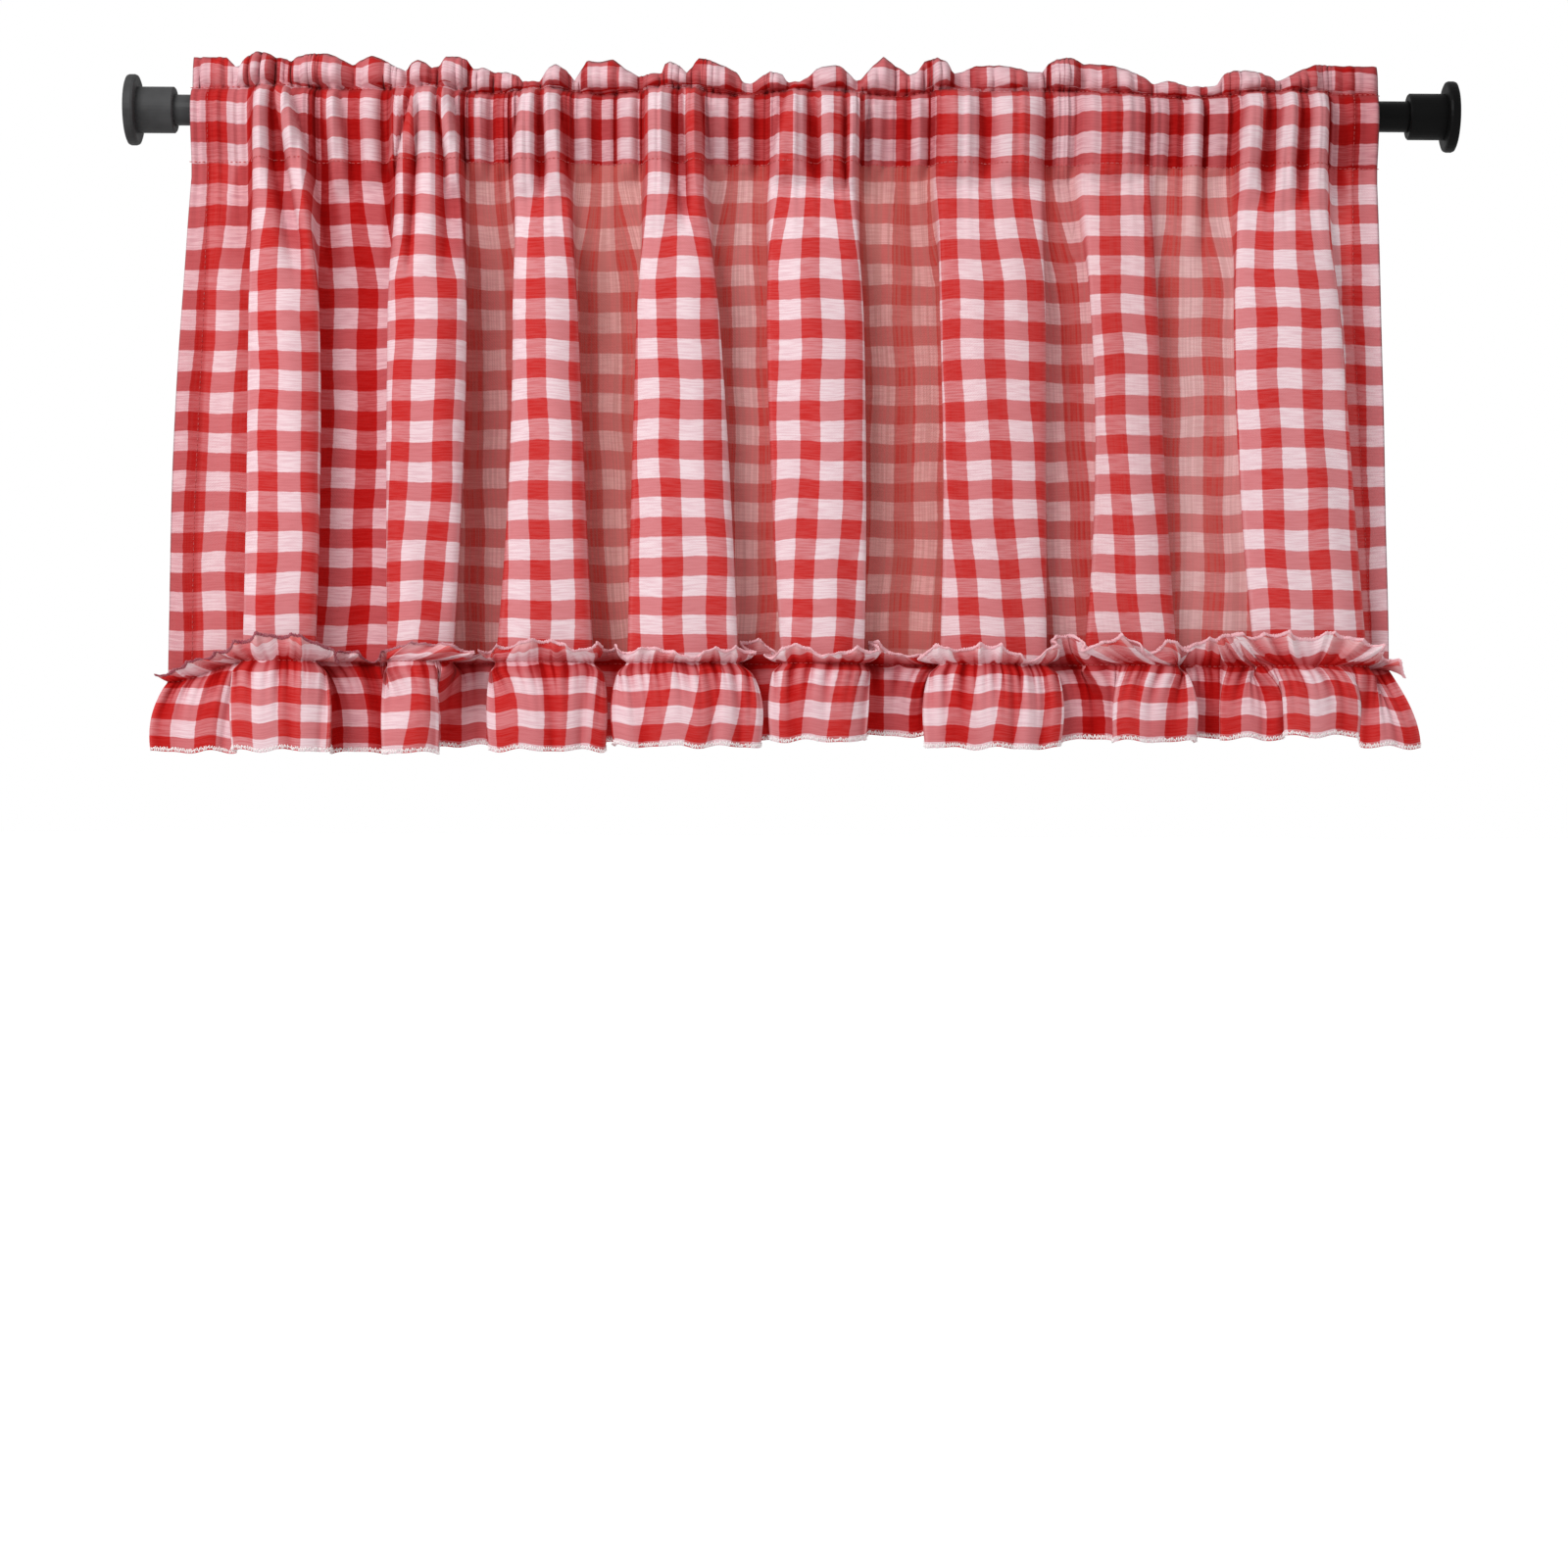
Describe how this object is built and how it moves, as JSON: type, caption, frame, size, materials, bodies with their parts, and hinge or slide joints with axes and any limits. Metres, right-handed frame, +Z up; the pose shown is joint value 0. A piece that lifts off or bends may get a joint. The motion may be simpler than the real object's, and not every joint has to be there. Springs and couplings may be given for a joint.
{
  "type": "cafe curtain on a rod",
  "caption": "Short gathered gingham window curtain with a rod pocket, stand-up heading and ruffled foot, hung on a plain round rod with padded end caps.",
  "frame": {"origin": "centre of the left end cap's flat outer face, on the rod's axis", "axes": "+X along the rod to the right end cap, +Z up, -Y towards the room, the side the curtain is seen from"},
  "size_m": [0.87, 0.0596, 0.458],
  "materials": {
    "gingham_cloth": "red and white woven check, semi-sheer",
    "gingham_ruffle": "red and white woven check, semi-sheer",
    "black_tube": "satin black",
    "black_cap": "matt black"
  },
  "bodies": {
    "root": {"curtain_panel": "gingham_cloth", "ruffle": "gingham_ruffle", "rod_tube": "black_tube", "end_cap_left": "black_cap", "end_cap_right": "black_cap"}
  },
  "joints": []
}
